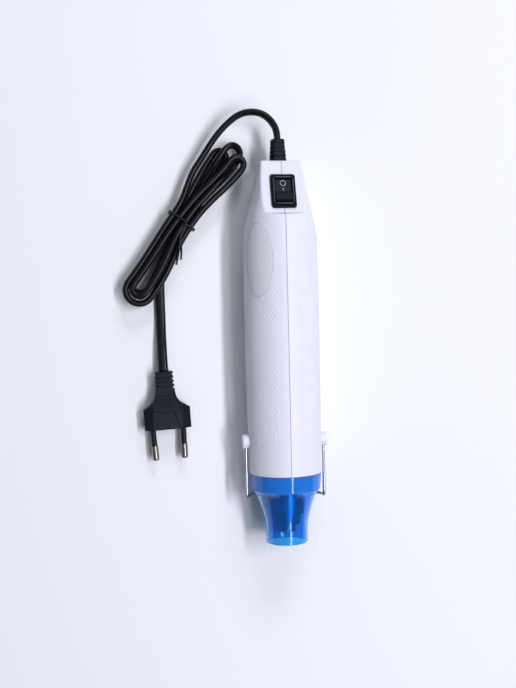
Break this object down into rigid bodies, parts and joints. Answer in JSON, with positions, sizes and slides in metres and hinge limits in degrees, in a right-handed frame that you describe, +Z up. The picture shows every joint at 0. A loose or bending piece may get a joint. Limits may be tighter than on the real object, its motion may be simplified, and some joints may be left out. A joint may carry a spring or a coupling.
{
  "type": "embossing_heat_tool",
  "caption": "Embossing heat tool with a two-half white casing, see-through blue nozzle guard, rocker switch, wire stand and a flat cord tied in a hank",
  "frame": {"origin": "bottom centre of the tool without its cord, on the table it rests on", "axes": "+Z up, the tool lies along Y with its nozzle towards -Y and its cord towards +Y, +X is the tool's right seen from the rear"},
  "size_m": [0.1227, 0.2623, 0.0448],
  "materials": {
    "casing_plastic": "white moulded ABS, fine gloss",
    "guard_plastic": "clear blue moulded polycarbonate",
    "black_plastic": "black moulded nylon",
    "cord_sheath": "black flexible PVC sheath",
    "bright_steel": "bright drawn steel wire",
    "pin_metal": "nickel plated brass",
    "contact_brass": "stamped brass",
    "mica_sheet": "pressed mica sheet",
    "inner_plastic": "natural heat resistant nylon"
  },
  "bodies": {
    "root": {"left_shell": "casing_plastic", "right_shell": "casing_plastic", "stand_caps": "casing_plastic", "nozzle_guard": "guard_plastic", "switch_body": "black_plastic", "plug_body": "black_plastic", "pin_sleeves": "black_plastic", "strain_relief": "cord_sheath", "cord_lead": "cord_sheath", "cord_hank": "cord_sheath", "cord_tail": "cord_sheath", "inner_cable": "cord_sheath", "mains_cores": "cord_sheath", "hank_tie": "cord_sheath", "heat_barrel": "bright_steel", "barrel_ring": "bright_steel", "heater_flange": "bright_steel", "casing_screws": "bright_steel", "clamp_screws": "bright_steel", "motor_can": "bright_steel", "thermal_cutout": "bright_steel", "heating_coil": "bright_steel", "plug_pins": "pin_metal", "switch_terminals": "contact_brass", "heater_leads": "contact_brass", "mica_liner": "mica_sheet", "mica_former": "mica_sheet", "fan_housing": "inner_plastic", "motor_end_cap": "inner_plastic", "rectifier_board": "inner_plastic", "diodes": "inner_plastic", "cord_clamp": "inner_plastic"},
    "rocker": {"rocker": "black_plastic"},
    "contact": {"moving_contact": "contact_brass"},
    "stand": {"stand_wire": "bright_steel"},
    "rotor": {"motor_shaft": "bright_steel", "fan_impeller": "inner_plastic"}
  },
  "joints": [
    {"name": "rocker_hinge", "type": "hinge", "parent": "root", "child": "rocker", "pos_m": [0, 0.08833, 0.03779], "axis": [1, 0, 0], "range_deg": [0, 26]},
    {"name": "contact_hinge", "type": "hinge", "parent": "root", "child": "contact", "pos_m": [0, 0.08608, 0.03022], "axis": [1, 0, 0], "range_deg": [-13, 0]},
    {"name": "stand_hinge", "type": "hinge", "parent": "root", "child": "stand", "pos_m": [0, -0.0598, 0.0224], "axis": [1, 0, 0], "range_deg": [0, 110]},
    {"name": "fan_spin", "type": "hinge", "parent": "root", "child": "rotor", "pos_m": [0, 0.016, 0.0224], "axis": [0, 1, 0], "continuous": true}
  ],
  "couplings": [
    {"joint": "contact_hinge", "follows": "rocker_hinge", "ratio": -0.5}
  ]
}
